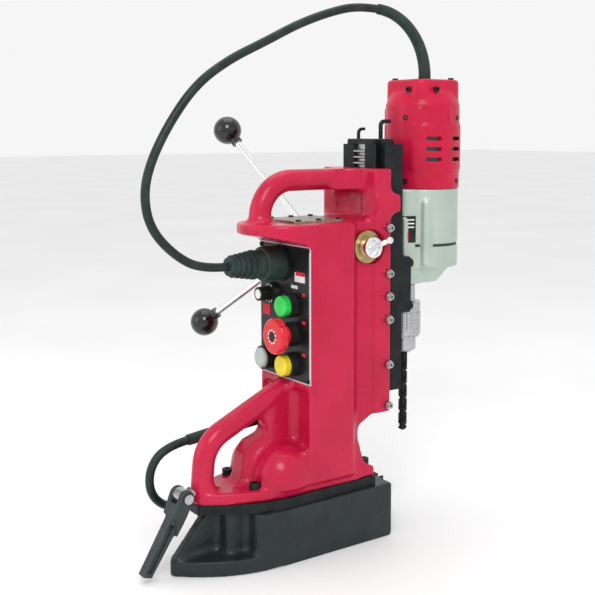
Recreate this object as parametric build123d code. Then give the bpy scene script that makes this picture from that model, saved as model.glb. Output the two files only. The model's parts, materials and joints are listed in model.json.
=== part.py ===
"""Magnetic drill press.

Frame: millimetres, +Z up, origin at the centre of the magnet face.  +Y points to the drill
motor, -Y to the control panel and the tail, +X to the side with the wing on the feed shaft.
"""
from build123d import *
from math import cos, pi, radians, sin, sqrt, tan
import os

# ---- driving dimensions ----------------------------------------------------------------
# magnet base
BASE_HALF = 58.0            # half width
BASE_FRONT = 151.0          # front face, Y
BASE_TAIL = -151.0          # tip of the tail, Y
BASE_H = 71.0               # height of the full block
BOW_START = -25.0           # where the straight sides begin to curve in, Y
BLOCK_REAR = -60.0          # rear of the full-height block, Y
LIP_H = 19.0                # height of the lip round the tail
RIB_HALF = 7.0              # half thickness of the tail rib
CORE_Y = (0.0, 92.0)        # pole cores
CORE_HALF = (18.0, 16.0)    # pole core half size
POCKET_WALL = 20.0          # width of the coil pocket round a core
POCKET_H = 44.0             # depth of a coil pocket
SEAL_T = 5.0                # thickness of the resin seal
COIL_GAP = 1.0              # air round a coil

# swivel
PIVOT_Y = 68.0
PIVOT_R = 12.0
PIVOT_DEPTH = 20.0          # length of the pin inside the base
PLATE_T = 13.0              # swivel plate thickness
RUN_FIT = 0.05              # radial clearance of a running fit
CLEAR = 0.3                 # free gap between faces that move past each other

# housing
FLANGE_T = 14.0
COL_HALF = 58.0             # half width of the column
COL_REAR = 16.5             # rear wall (control panel) face, Y
COL_SIDE_END = 87.0         # end of the flat side walls, Y
NECK_HALF = COL_HALF - 10.0 # half width of the fluted neck
WAY_REAR = 119.0            # rear of the slide-way flange, Y
WAY_FRONT = 146.4           # front face of the slide way, Y
WAY_BOTTOM = 170.0          # lower end of the slide way, Z
TOP = 490.0                 # top of the housing, Z
DECK_TOP = 424.0            # deck behind the tower, Z
DECK_T = 14.0
VISOR_TIP = -44.0           # tip of the visor, Y
WALL = 8.0                  # casting wall
HANDLE_R = 14.0             # handle bar radius
DOME_R = 41.0

# control panel
PANEL_T = 2.0
PANEL_HALF = COL_HALF - 1.5
PANEL_BOTTOM = 222.0
PANEL_TOP = 396.0
WINDOW_HALF = COL_HALF - 7.4 # half width of the opening behind the panel
BUTTON_TRAVEL = 3.5
BUTTON_R = 13.2
COLLAR_R = 15.5
COLLAR_H = 10.5
HEAD_R = 23.0               # red mushroom head
PLUG_AT = (-9.0, 371.0)     # X, Z on the panel
DIAL_AT = (-25.0, 330.0)
GREEN_AT = (18.0, 319.0)
RED_AT = (18.0, 282.0)
YELLOW_AT = (18.0, 243.0)
LENS_AT = (-38.0, 243.0)
PLUG_R = 22.0
STEM_R = 5.0

# feed
FEED_Y = 111.5
FEED_Z = 390.0
GEAR_M = 2.5                # module of rack and pinion
GEAR_N = 22                 # pinion teeth
GEAR_W = 22.0               # pinion width
SHAFT_R = 11.0
BUSH_R = 16.0
SPOKE_R = 4.8
SPOKE_RADIAL = 160.0        # radius of the knob centres from the shaft
SPOKE_OUT = 133.0           # how far the knobs stand out from the hub centre
SPOKE_PHASE = 111.4         # angle of the first spoke, degrees from +Y towards +Z
KNOB_R = 20.0
HUB_X = -NECK_HALF - 19.0
HUB_R = 19.0
HUB_L = 26.0

# slide
SLIDE_BOTTOM = 194.0
SLIDE_TOP = 521.0
SLIDE_REAR = 137.0          # rear face of the dovetail
DOVE_REAR_HALF = 35.0
DOVE_FRONT_HALF = 29.0
DOVE_T = 10.0
PLATE_HALF = 47.0
SLIDE_FRONT = 173.0
GIB_T = 6.0
RACK_HALF = 12.0
GIB_SCREW_Y = 140.0
GIB_SCREW_Z = (174.5 + 5.0, 234.0, 293.5, 354.0, 413.6)
LOCK_SCREW_Z = 324.0

# motor unit
MOTOR_Y = 248.0
MOTOR_R = 51.0
SPINDLE_Y = 216.0
CASE_TOP = 460.0
CASE_BOTTOM = 330.0
CASE_R = 50.0
CASE_WALL = 6.0
RIDGE_AT = (36.0, 224.0)    # vertical ridge of the gear case, X and Y
COVER_TOP = 608.0
COVER_SHOULDER = 582.0
COVER_WALL = 4.0
CAP_R = 44.0
DRIVE_M = 1.0               # module of the reduction gears
DRIVE_N = (12, 52)          # armature pinion and spindle gear teeth
CHUCK_TOP = 303.0
CHUCK_MID = 258.0
CHUCK_NOSE = 234.0
CHUCK_R = 24.0
BIT_R = 6.0
BIT_TIP = 118.0
JAW_TILT = 12.0
JAW_R = 3.4
SPINDLE_R = 9.0

# cords
CORD_R = 5.5
CORD_GAP = 0.2              # gap between a cord and its strain relief
COIL_AT = (-165.0, 118.0)
COIL_R = 55.0               # middle radius of the coiled lead
COIL_W = 26.0               # radial width of the coil
COIL_H = 34.0
MOTOR_CORD = [
    (0, 168, 699), (-1, 136, 701), (-2, 92, 691), (-3, 40, 672), (-4, -8, 648),
    (-5, -58, 625), (-6, -104, 594), (-7, -140, 548), (-8, -166, 500), (-9, -174, 462),
    (-9, -166, 424), (-9, -137, 392), (-9, -100, 371), (-9, -62, 371),
]
POWER_CORD = [
    (-40, -104, 151), (-40, -135.8, 147.7), (-40, -157.5, 125), (-42, -157, 93), (-48, -135, 69),
    (-61, -98, 58), (-74, -62, 45), (-89, -24, 25), (-101, 16, 9), (-110, 50, 5.8), (-110, 80, 5.8),
]
POWER_TAIL = [(-105, 118, 27.6), (-105, 148, 27.6), (-105, 176, 12), (-105, 198, 12)]

# derived from the sizes above
PLATE_Z = BASE_H
FLANGE_Z = PLATE_Z + PLATE_T
FLANGE_TOP = FLANGE_Z + FLANGE_T
BOLT_AT = ((36, 118), (-36, 118), (33, -51), (-33, -51))
BOLT_R = 4.0
BOLT_HEAD = (6.8, 8.0)
PIN_AT = (-134.0, 97.0)     # lever hinge pin, Y and Z
STUD_R = 6.0
FORK_HALF = 15.0
FORK_GAP = 7.5
PINION_R = GEAR_M * GEAR_N / 2
RACK_Y = FEED_Y + PINION_R      # pitch line of the rack
SLOPE = (DOVE_REAR_HALF - DOVE_FRONT_HALF) / DOVE_T
GIB_GAP = 0.4                   # horizontal gap at the dovetail flanks
DECK_SCREW_AT = [(x, y) for x in (-31, 31) for y in (17, 48, 79)]
DECK_COVER_T = 2.5
PANEL_SCREW_AT = [(x, z) for x in (3.1 - PANEL_HALF, PANEL_HALF - 3.1)
                  for z in (PANEL_BOTTOM + 5, PANEL_TOP - 5)]
FACE = COL_REAR                 # front face of the panel, Y
BACK = COL_REAR + PANEL_T
KEY_AT = ((14.0, 162.0, 2.9), (-12.0, 145.0, 2.3))
BRACKET_AT = [(x, z) for x in (-38, 38) for z in (304, 362)]
CAP_SCREW_AT = [(x, MOTOR_Y + y) for x in (-27, 27) for y in (-27, 27)]
STATOR_Z = (480.0, 540.0)
GEAR_SHIFT = 90 + 180 / DRIVE_N[1]     # a tooth space faces the armature pinion


# ---- helpers ---------------------------------------------------------------------------
def block(x0, x1, y0, y1, z0, z1):
    """Box between two corners."""
    centre = ((x0 + x1) / 2, (y0 + y1) / 2, (z0 + z1) / 2)
    return Pos(*centre) * Box(abs(x1 - x0), abs(y1 - y0), abs(z1 - z0))


def rod_x(y, z, r, x0, x1):
    return Pos((x0 + x1) / 2, y, z) * Rot(0, 90, 0) * Cylinder(r, abs(x1 - x0))


def rod_y(x, z, r, y0, y1):
    return Pos(x, (y0 + y1) / 2, z) * Rot(90, 0, 0) * Cylinder(r, abs(y1 - y0))


def rod_z(x, y, r, z0, z1):
    return Pos(x, y, (z0 + z1) / 2) * Cylinder(r, abs(z1 - z0))


def cone_y(x, z, r0, r1, y0, y1):
    """Cone along Y with radius r0 at y0 and r1 at y1 (y0 < y1)."""
    return Pos(x, (y0 + y1) / 2, z) * Rot(-90, 0, 0) * Cone(r0, r1, y1 - y0)


def prism_x(points, x0, x1):
    """Polygon of (Y, Z) points extruded from x0 to x1."""
    face = make_face(Polyline(*[(0, y, z) for y, z in points], close=True))
    return Pos(x0, 0, 0) * extrude(face, x1 - x0, dir=(1, 0, 0))


def prism_z(points, z0, z1):
    """Polygon of (X, Y) points extruded from z0 to z1."""
    face = make_face(Polyline(*[(x, y, 0) for x, y in points], close=True))
    return Pos(0, 0, z0) * extrude(face, z1 - z0, dir=(0, 0, 1))


def rounded_block(x0, x1, y0, y1, z0, z1, r, axis=Axis.Z):
    """Box with the four edges along one axis rounded."""
    solid = block(x0, x1, y0, y1, z0, z1)
    return fillet(solid.edges().filter_by(axis), r)


def boat(front, side_rear, bow_mid, bow_end, tail, z0, z1):
    """Boat-shaped slab, symmetric about X=0; the points are (X, Y) on the +X side."""
    outline = [
        Line((0, front[1]), front),
        Line(front, side_rear),
        ThreePointArc(side_rear, bow_mid, bow_end),
        ThreePointArc(bow_end, (bow_end[0] / 2, tail + (bow_end[1] - tail) * 0.22), (0, tail)),
        Line((0, tail), (0, front[1])),
    ]
    half = extrude(make_face(outline), z1 - z0, dir=(0, 0, 1))
    return Pos(0, 0, z0) * (half + mirror(half, about=Plane.YZ))


def socket_screw(r, head_r, head_h, length):
    """Socket head screw along -Z, underside of the head at Z=0."""
    body = rod_z(0, 0, head_r, 0, head_h) + rod_z(0, 0, r, -length, 0.0)
    socket = Pos(0, 0, head_h * 0.4) * extrude(RegularPolygon(head_r * 0.5, 6), head_h)
    return chamfer(body.edges().group_by(Axis.Z)[-1], head_h * 0.08) - socket


def cord_path(points, label):
    """Straight runs joined by tangent arcs of 0.45 of the shorter run."""
    corners = [Vector(*p) for p in points]
    radii = []
    for a, b, c in zip(corners, corners[1:], corners[2:]):
        turn = (b - a).get_angle(c - b)
        run = min((b - a).length, (c - b).length)
        radii.append(0.45 * run / tan(radians(turn) / 2))
    print(label, "arc radii", [round(r, 1) for r in radii])
    return FilletPolyline(*corners, radius=radii)


def cord_tube(points, label):
    """Round tube along a cord's route; prints its volume against section times length."""
    path = cord_path(points, label)
    start = Plane(origin=path @ 0, z_dir=path % 0)
    tube = sweep(start * Circle(CORD_R), path=path)
    ratio = tube.volume / (pi * CORD_R ** 2 * path.length)
    print(label, "length", round(path.length, 1), "volume ratio", round(ratio, 4))
    return tube


def gear_face(module, teeth, shift=0.0):
    """Spur gear outline with straight-flanked teeth, slightly thinned for backlash."""
    pitch_r = module * teeth / 2
    tip_r = pitch_r + module
    root_r = pitch_r - 1.25 * module
    step = 360 / teeth
    corners = []
    for k in range(teeth):
        mid = k * step + shift
        for r, share in ((root_r, -0.35), (pitch_r, -0.225), (tip_r, -0.11),
                         (tip_r, 0.11), (pitch_r, 0.225), (root_r, 0.35)):
            a = radians(mid + share * step)
            corners.append((r * cos(a), r * sin(a)))
    return make_face(Polyline(*corners, close=True))


def save(name, *solids):
    """Write one node: one solid, or a group of separate solids."""
    shape = solids[0] if len(solids) == 1 else Compound(children=list(solids))
    export_step(shape, f"parts/{name}.step")


# ---- magnet and swivel -----------------------------------------------------------------


def pocket(y, inset, z0, z1):
    """Ring-shaped space round a pole core, shrunk on every side by inset."""
    hx = CORE_HALF[0] + POCKET_WALL - inset
    hy = CORE_HALF[1] + POCKET_WALL - inset
    outer = rounded_block(-hx, hx, y - hy, y + hy, z0, z1, 8)
    cx = CORE_HALF[0] + inset
    cy = CORE_HALF[1] + inset
    return outer - block(-cx, cx, y - cy, y + cy, z0 - 1, z1 + 1)


def magnet_base():
    lip = boat((BASE_HALF, BASE_FRONT), (BASE_HALF, BOW_START), (43, -96), (10, -143),
               BASE_TAIL, 0, LIP_H)
    full = boat((BASE_HALF, BASE_FRONT), (BASE_HALF, BOW_START), (43, -96), (10, -143),
                BASE_TAIL, 0, BASE_H)
    main = full & rounded_block(-BASE_HALF - 1, BASE_HALF + 1, BLOCK_REAR, BASE_FRONT + 30,
                                0, BASE_H, 16)
    heel = rounded_block(-30, 30, -88, BLOCK_REAR + 20, LIP_H - 1, BASE_H, 10)
    rib = prism_x([(-70, BASE_H), (-104, BASE_H), (BASE_TAIL + 4, LIP_H + 2),
                   (BASE_TAIL + 4, LIP_H - 1), (-70, LIP_H - 1)], -RIB_HALF, RIB_HALF)
    body = lip + main + heel + rib
    front_edges = body.edges().filter_by(Axis.Z).group_by(Axis.Y)[-1]
    body = fillet(front_edges, 5)
    for y in CORE_Y:
        body -= pocket(y, 0, -1, POCKET_H)
    return body - rod_z(0, PIVOT_Y, PIVOT_R, BASE_H - PIVOT_DEPTH, BASE_H + 1)


def swivel_plate():
    plate = boat((50, 127), (54, 10), (43, -64), (11, -110), -115, PLATE_Z, FLANGE_Z)
    tail = rounded_block(-13, 13, -118, -96, PLATE_Z, FLANGE_Z, 4)
    plate = plate + tail - rod_z(0, PIVOT_Y, PIVOT_R + RUN_FIT, PLATE_Z - 1, FLANGE_Z + 1)
    for x, y in BOLT_AT:
        plate -= rod_z(x, y, BOLT_R, PLATE_Z - 1, FLANGE_Z + 1)
    return plate


def lever_stud():
    """Eye stud that screws into the tail of the housing, with the hinge pin in its eye."""
    stud = rod_y(0, PIN_AT[1], STUD_R, PIN_AT[0], -108.0)
    eye = rod_x(PIN_AT[0], PIN_AT[1], 9, -FORK_GAP + CLEAR, FORK_GAP - CLEAR)
    collar = rod_y(0, PIN_AT[1], 8.5, -124.1, -122.6)
    pin = rod_x(PIN_AT[0], PIN_AT[1], 4, -FORK_HALF - 3, FORK_HALF + 3)
    heads = rod_x(PIN_AT[0], PIN_AT[1], 6, FORK_HALF + CLEAR, FORK_HALF + 3)
    heads += rod_x(PIN_AT[0], PIN_AT[1], 6, -FORK_HALF - 3, -FORK_HALF - CLEAR)
    return stud + eye + collar + pin + heads


def lock_lever():
    """Forked lever that hangs down and back from the pin."""
    y, z = PIN_AT
    cheek = rod_x(y, z, 9.5, -FORK_HALF, FORK_HALF)
    arm = prism_x([(y - 9, z + 4), (y + 8, z - 5), (y - 6, z - 30), (y - 46, 6.5),
                   (y - 57, 10.0), (y - 20, z - 24)], -FORK_HALF, FORK_HALF)
    slim = block(FORK_GAP, FORK_HALF + 1, y - 90, y - 15.5, 0, z - 22)
    body = cheek + arm - slim - mirror(slim, about=Plane.YZ)
    gap = rod_x(y, z, 13.5, -FORK_GAP, FORK_GAP)
    body -= gap + block(-FORK_GAP, FORK_GAP, y, y + 20, z - 30, z + 12)
    return body - rod_x(y, z, 4 + RUN_FIT, -FORK_HALF - 1, FORK_HALF + 1)


def make_magnet():
    save("magnet_base", magnet_base())
    save("magnet_coils", *[pocket(y, COIL_GAP, SEAL_T, POCKET_H - COIL_GAP) for y in CORE_Y])
    save("coil_seals", *[pocket(y, 0, 0, SEAL_T) for y in CORE_Y])
    save("pivot_pin", rod_z(0, PIVOT_Y, PIVOT_R, BASE_H - PIVOT_DEPTH, FLANGE_Z - 0.5))
    save("swivel_plate", swivel_plate())
    save("lever_stud", lever_stud())
    save("lock_lever", lock_lever())


# ---- housing ---------------------------------------------------------------------------


def flank(y):
    """Half width of the dovetail at Y."""
    return DOVE_REAR_HALF - SLOPE * (y - SLIDE_REAR)


def way_channel():
    """Space for the dovetail, the gib and the rack teeth."""
    floor = SLIDE_REAR - 0.4
    mouth = WAY_FRONT + 4
    groove = prism_z([(-flank(floor) - GIB_GAP, floor), (-flank(mouth) - GIB_GAP, mouth),
                      (flank(mouth) + GIB_GAP + GIB_T, mouth),
                      (flank(floor) + GIB_GAP + GIB_T, floor)], WAY_BOTTOM - 1, TOP + 1)
    teeth = block(-RACK_HALF - 1.5, RACK_HALF + 1.5, RACK_Y - GEAR_M - 1, floor + 1,
                  WAY_BOTTOM - 1, TOP + 1)
    return groove + teeth


def handle_bar(path_points, radius, corner):
    path = FilletPolyline(*[(0, y, z) for y, z in path_points], radius=corner)
    start = Plane(origin=path @ 0, z_dir=path % 0)
    return sweep(start * Circle(radius), path=path)


def tower_web():
    """Flare that joins the top handle bar to the slide-way flange."""
    outline = [
        Line((0, 84), (HANDLE_R, 84)),
        ThreePointArc((HANDLE_R, 84), (24, 108), (COL_HALF - 8, WAY_REAR + 1)),
        Line((COL_HALF - 8, WAY_REAR + 1), (0, WAY_REAR + 1)),
        Line((0, WAY_REAR + 1), (0, 84)),
    ]
    half = extrude(make_face(outline), TOP - 462, dir=(0, 0, 1))
    return Pos(0, 0, 462) * (half + mirror(half, about=Plane.YZ))


def visor():
    """Deck with its rounded tongue and the sloping soffit below it."""
    outline = ((COL_HALF, COL_SIDE_END), (COL_HALF, 6), (0.8 * COL_HALF, -22),
               (0.28 * COL_HALF, -41), VISOR_TIP)
    deck = boat(*outline, DECK_TOP - DECK_T, DECK_TOP)
    deck = fillet(deck.edges().group_by(Axis.Z)[-1], 4)
    soffit = prism_x([(COL_REAR + 1, PANEL_TOP + 1), (COL_REAR + 1, DECK_TOP - 2),
                      (-34, DECK_TOP - 2), (-34, DECK_TOP - DECK_T)], -COL_HALF, COL_HALF)
    column = boat(*outline, PANEL_TOP - 10, DECK_TOP)
    return deck + (soffit & column)


def foot():
    """Flange, side domes, rear rib and the rear handle."""
    flange = boat((50, 126), (52, 8), (41, -64), (13, -116), -120, FLANGE_Z, FLANGE_TOP)
    flange = fillet(flange.edges().group_by(Axis.Z)[-1], 3)
    rib = prism_x([(COL_REAR + 2, 212), (-16, 184), (-19, 156), (-42, 149), (-53, 136),
                   (-57, 112), (-60, FLANGE_TOP - 2), (COL_REAR + 2, FLANGE_TOP - 2)], -13, 13)
    shoulder = [e for e in rib.edges().filter_by(Axis.X) if -55 < e.center().Y < -40]
    rib = fillet(shoulder, 5)
    domes = None
    for x in (24, -24):
        ball = Pos(x, -6, 106) * Sphere(DOME_R - 2)
        domes = ball if domes is None else domes + ball
    domes &= block(-60, 60, -60, COL_REAR + 2, FLANGE_TOP - 3, 200)
    bar = handle_bar([(16, 211), (-102, 156), (-108, FLANGE_Z + 4)], HANDLE_R, 44)
    root = rod_z(0, -105, 12, FLANGE_Z + 1, FLANGE_TOP + 2)
    return flange + rib + domes + bar + root


def neck():
    """Fluted neck and the flare down to the front of the foot."""
    upper = block(-NECK_HALF, NECK_HALF, COL_SIDE_END - 2, WAY_REAR + 2, WAY_BOTTOM, DECK_TOP)
    lower = block(-NECK_HALF, NECK_HALF, COL_SIDE_END - 2, 103, FLANGE_TOP - 2, WAY_BOTTOM + 1)
    flare = prism_x([(101, FLANGE_TOP - 2), (123, FLANGE_TOP - 2), (110, FLANGE_TOP + 8),
                     (103, FLANGE_TOP + 30), (101, FLANGE_TOP + 30)], -NECK_HALF, NECK_HALF)
    chin = prism_x([(101, WAY_BOTTOM - 18), (WAY_REAR + 6, WAY_BOTTOM),
                    (WAY_REAR + 6, WAY_BOTTOM + 2), (101, WAY_BOTTOM + 2)],
                   -NECK_HALF, NECK_HALF)
    return upper + lower + flare + chin


def housing_cavity():
    """Room for the switches and the board, open to the panel, the deck cover and below."""
    top = DECK_TOP - DECK_T - 2
    upper = block(-COL_HALF + WALL, COL_HALF - WALL, COL_REAR + WALL, 76, 215, top)
    lower = block(-COL_HALF + 12, COL_HALF - 12, COL_REAR + 20, 76, FLANGE_Z - 1, 216)
    window = block(-WINDOW_HALF, WINDOW_HALF, COL_REAR - 1, COL_REAR + WALL + 1,
                   PANEL_BOTTOM + 7, PANEL_TOP - 5)
    hatch = block(-26, 26, 24, 72, top - 1, DECK_TOP + 1)
    seat = block(-PANEL_HALF, PANEL_HALF, COL_REAR - 20, COL_REAR + PANEL_T, PANEL_BOTTOM,
                 PANEL_TOP)
    return upper + lower + window + hatch + (seat & block(-99, 99, COL_REAR, 99, 0, 999))


def main_housing():
    column = block(-COL_HALF, COL_HALF, COL_REAR, COL_SIDE_END, FLANGE_TOP - 2, DECK_TOP - 1)
    column = fillet(column.edges().filter_by(Axis.Z), 4)
    way = rounded_block(-COL_HALF, COL_HALF, WAY_REAR, WAY_FRONT, WAY_BOTTOM, TOP, 3)
    scoop = rod_z(0, 71, 58, DECK_TOP, 462)
    boss = rounded_block(COL_HALF - 6, COL_HALF + 2.5, 119.5, 159.7, 432, 457, 4, Axis.Y)
    bar = handle_bar([(-20, DECK_TOP - 6), (-20, 476), (WAY_REAR + 6, 476)], HANDLE_R, 46)
    body = column + neck() + foot() + visor() + (way - scoop) + tower_web() + boss + bar
    for side in (1, -1):
        body -= rounded_block(side * 15, side * 51, COL_REAR - 1, COL_REAR + 8, 118, 213, 7,
                              Axis.Y)
        body -= rod_z(side * (NECK_HALF + 11), 103, 14, FLANGE_TOP + 34, DECK_TOP - 1)
    body -= housing_cavity() + way_channel()
    body -= rod_x(FEED_Y, FEED_Z, PINION_R + GEAR_M + 1, -GEAR_W / 2 - 2, GEAR_W / 2 + 2)
    body -= rod_x(FEED_Y, FEED_Z, BUSH_R, -COL_HALF - 12, COL_HALF + 12)
    for side in (1, -1):
        body -= rod_x(FEED_Y, FEED_Z, 23, side * NECK_HALF, side * (COL_HALF + 12))
    body -= rod_y(0, PIN_AT[1], STUD_R + RUN_FIT, -130, -107.5)
    body -= rod_y(-40, 164.3, 9.8, 0, 60)
    for x, y in BOLT_AT:
        body -= rod_z(x, y, BOLT_R, FLANGE_Z - 1, FLANGE_TOP + 1)
        body -= rod_z(x, y, BOLT_HEAD[0] + 1.2, FLANGE_TOP, FLANGE_TOP + 14)
    for z in (*GIB_SCREW_Z, LOCK_SCREW_Z):
        body -= rod_x(GIB_SCREW_Y, z, 4.0, 36, 90)
    for x, y in DECK_SCREW_AT:
        body -= rod_z(x, y, 1.8, DECK_TOP - 9, DECK_TOP + 1)
    for x, z in PANEL_SCREW_AT:
        body -= rod_y(x, z, 1.6, COL_REAR, COL_REAR + 7.5)
    return body


def gib():
    """Adjusting strip between the slide and the +X flank of the way."""
    rear = SLIDE_REAR
    front = WAY_FRONT
    return prism_z([(flank(rear) + GIB_GAP, rear), (flank(front) + GIB_GAP, front),
                    (flank(front) + GIB_GAP + GIB_T - 0.1, front),
                    (flank(rear) + GIB_GAP + GIB_T - 0.1, rear)], WAY_BOTTOM + 1, TOP - 1)


def gib_screw(z):
    inner = flank(GIB_SCREW_Y - 4.0) + GIB_GAP + GIB_T
    screw = rod_x(GIB_SCREW_Y, z, 4.0, inner, COL_HALF + 8)
    screw += rod_x(GIB_SCREW_Y, z, 5.4, COL_HALF, COL_HALF + 5)
    socket = Pos(COL_HALF + 4, GIB_SCREW_Y, z) * Rot(0, 90, 0) * extrude(RegularPolygon(2.4, 6), 9)
    return screw - socket


def base_bolt(x, y):
    bolt = socket_screw(BOLT_R, BOLT_HEAD[0], BOLT_HEAD[1], FLANGE_T + PLATE_T - 1)
    return Pos(x, y, FLANGE_TOP) * bolt


def feed_bush(side):
    """Flanged bronze bush of the feed shaft."""
    inner = side * (GEAR_W / 2 + 2)
    outer = side * NECK_HALF
    bush = rod_x(FEED_Y, FEED_Z, BUSH_R, inner, outer)
    bush += rod_x(FEED_Y, FEED_Z, 21, outer, side * (NECK_HALF + 3.5))
    return bush - rod_x(FEED_Y, FEED_Z, SHAFT_R + RUN_FIT, -90, 90)


def deck_cover():
    z = DECK_TOP
    plate = rounded_block(-36, 36, 10, 86, z, z + DECK_COVER_T, 5)
    for x, y in DECK_SCREW_AT:
        plate -= rod_z(x, y, 1.8, z - 1, z + 4)
    return plate


def small_screw(r, head_r, head_h, length):
    """Pan head screw along -Z with a cross slot."""
    screw = rod_z(0, 0, r, -length, 0) + rod_z(0, 0, head_r, 0, head_h)
    for turn in (0, 90):
        screw -= Rot(0, 0, turn) * block(-head_r * 0.6, head_r * 0.6, -0.4, 0.4,
                                         head_h * 0.5, head_h + 1)
    return screw


def make_housing():
    save("main_housing", main_housing())
    save("base_bolts", *[base_bolt(x, y) for x, y in BOLT_AT])
    save("gib", gib())
    save("gib_screws", *[gib_screw(z) for z in (*GIB_SCREW_Z, LOCK_SCREW_Z)])
    save("feed_bushes", feed_bush(1), feed_bush(-1))
    save("deck_cover", deck_cover())
    save("deck_screws", *[Pos(x, y, DECK_TOP + DECK_COVER_T) * small_screw(1.8, 3.4, 1.8, 8)
                          for x, y in DECK_SCREW_AT])


# ---- control panel ---------------------------------------------------------------------


def control_panel():
    plate = block(-PANEL_HALF, PANEL_HALF, FACE, BACK, PANEL_BOTTOM, PANEL_TOP)
    holes = [(PLUG_AT, 19.0), (DIAL_AT, 3.5), (GREEN_AT, 11.0), (RED_AT, 11.0),
             (YELLOW_AT, 11.0), (LENS_AT, 11.0)]
    for (x, z), r in holes:
        plate -= rod_y(x, z, r, FACE - 1, BACK + 1)
    for x, z in PANEL_SCREW_AT:
        plate -= rod_y(x, z, 1.6, FACE - 1, BACK + 1)
    return plate


def collar(at):
    """Threaded collar of a push button or of the pilot light."""
    x, z = at
    body = rod_y(x, z, COLLAR_R, FACE - COLLAR_H, FACE) + rod_y(x, z, 11.0, FACE, BACK + 6)
    body += rod_y(x, z, 12.3, BACK, BACK + 4)
    bore = rod_y(x, z, BUTTON_R + CLEAR, FACE - COLLAR_H - 1, FACE - 1.5)
    return body - bore - rod_y(x, z, STEM_R + CLEAR, FACE - 20, BACK + 20)


def push_button(at):
    x, z = at
    cap = rod_y(x, z, BUTTON_R, FACE - COLLAR_H - 9, FACE - 1.5 - BUTTON_TRAVEL - 0.5)
    cap = fillet(cap.edges().group_by(Axis.Y)[0], 1.5)
    return cap + rod_y(x, z, STEM_R, FACE - 6, BACK + 7)


def red_button():
    """Stop button with a mushroom head."""
    x, z = RED_AT
    head = rod_y(x, z, HEAD_R, FACE - 31, FACE - 21)
    head = fillet(head.edges().group_by(Axis.Y)[0], 4)
    neck_piece = rod_y(x, z, BUTTON_R - 1, FACE - 22, FACE - 1.5 - BUTTON_TRAVEL - 0.5)
    for k in range(8):
        a = radians(45 * k)
        head -= rod_y(x + 25 * cos(a), z + 25 * sin(a), 3.6, FACE - 40, FACE - 10)
    return head + neck_piece + rod_y(x, z, STEM_R, FACE - 6, BACK + 7)


def pilot_lens():
    x, z = LENS_AT
    lens = rod_y(x, z, BUTTON_R, FACE - COLLAR_H - 5, FACE - 2)
    return fillet(lens.edges().group_by(Axis.Y)[0], 4) + rod_y(x, z, STEM_R, FACE - 3, BACK + 7)


def speed_dial():
    x, z = DIAL_AT
    skirt = cone_y(x, z, 13, 15, FACE - 7, FACE - CLEAR)
    grip = rod_y(x, z, 9, FACE - 24, FACE - 6)
    for k in range(12):
        a = radians(30 * k)
        grip -= rod_y(x + 9.6 * cos(a), z + 9.6 * sin(a), 1.3, FACE - 23, FACE - 7)
    return skirt + grip + rod_y(x, z, 3.0, FACE - 1, BACK + 10)


def receptacle():
    x, z = PLUG_AT
    body = rod_y(x, z, 19.0, FACE, BACK + 26) + rod_y(x, z, 24.0, FACE - 3, FACE)
    return body - rod_y(x, z, 15.0, FACE - 4, BACK + 20)


def motor_plug():
    """Plug of the motor lead: body in the socket, collar ring and ribbed tail."""
    x, z = PLUG_AT
    front = FACE - 3
    plug = rod_y(x, z, 14.6, front, BACK + 18)
    plug += fillet(rod_y(x, z, PLUG_R, front - 28, front).edges().group_by(Axis.Y)[0], 3)
    plug += cone_y(x, z, 11.5, 18.0, MOTOR_CORD[-1][1] + CORD_GAP, front - 27)
    for k in range(5):
        plug += rod_y(x, z, 14.2 + 1.15 * k, -57 + 7.2 * k, -53.6 + 7.2 * k)
    return plug


def switch_body(at):
    x, z = at
    return block(x - 11.5, x + 11.5, BACK + 7.5 + BUTTON_TRAVEL, BACK + 36, z - 14, z + 14)


def speed_control():
    x, z = DIAL_AT
    body = rod_y(x, z, 12, BACK, BACK + 16)
    return body - rod_y(x, z, 3.0 + RUN_FIT, BACK - 1, BACK + 11)


def control_board():
    y = 66.0
    board = block(-44, 44, y, y + 2, 120, 205) + block(-20, 20, y - 22, y + 1, 130, 165)
    for x in (-34, -20, 22, 35):
        board += rod_y(x, 188, 5, y - 18, y + 1)
    for x in (-40, 40):
        for z in (124, 201):
            board += rod_y(x, z, 3, y + 1, 76)
    return board


def labels():
    """Plain label plates on the panel, with no lettering."""
    return [block(24, 46, FACE - 0.4, FACE, 350, 362), block(16, 30, FACE - 0.4, FACE, 341, 345),
            block(-48, -34, FACE - 0.4, FACE, 300, 312)]


def make_panel():
    save("control_panel", control_panel())
    screws = [Pos(x, FACE, z) * Rot(90, 0, 0) * small_screw(1.6, 3.0, 1.4, 7)
              for x, z in PANEL_SCREW_AT]
    save("panel_screws", *screws)
    save("panel_labels", *labels())
    save("motor_receptacle", receptacle())
    save("motor_plug", motor_plug())
    save("button_collars", *[collar(at) for at in (GREEN_AT, RED_AT, YELLOW_AT, LENS_AT)])
    save("green_button", push_button(GREEN_AT))
    save("yellow_button", push_button(YELLOW_AT))
    save("red_button", red_button())
    save("pilot_lens", pilot_lens())
    save("speed_dial", speed_dial())
    cells = [switch_body(at) for at in (GREEN_AT, RED_AT, YELLOW_AT, LENS_AT)]
    save("switch_bodies", *cells, speed_control())
    save("control_board", control_board())


# ---- feed ------------------------------------------------------------------------------
def feed_shaft():
    shaft = rod_x(FEED_Y, FEED_Z, SHAFT_R, HUB_X - HUB_L / 2 + 2, NECK_HALF + 4)
    return shaft + rod_x(FEED_Y, FEED_Z, 6, NECK_HALF + 4, NECK_HALF + 14)


def pinion():
    face = gear_face(GEAR_M, GEAR_N)
    gear = Plane.YZ * extrude(face, GEAR_W)
    gear = Pos(-GEAR_W / 2, FEED_Y, FEED_Z) * gear
    return gear - rod_x(FEED_Y, FEED_Z, SHAFT_R, -GEAR_W, GEAR_W)


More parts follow.
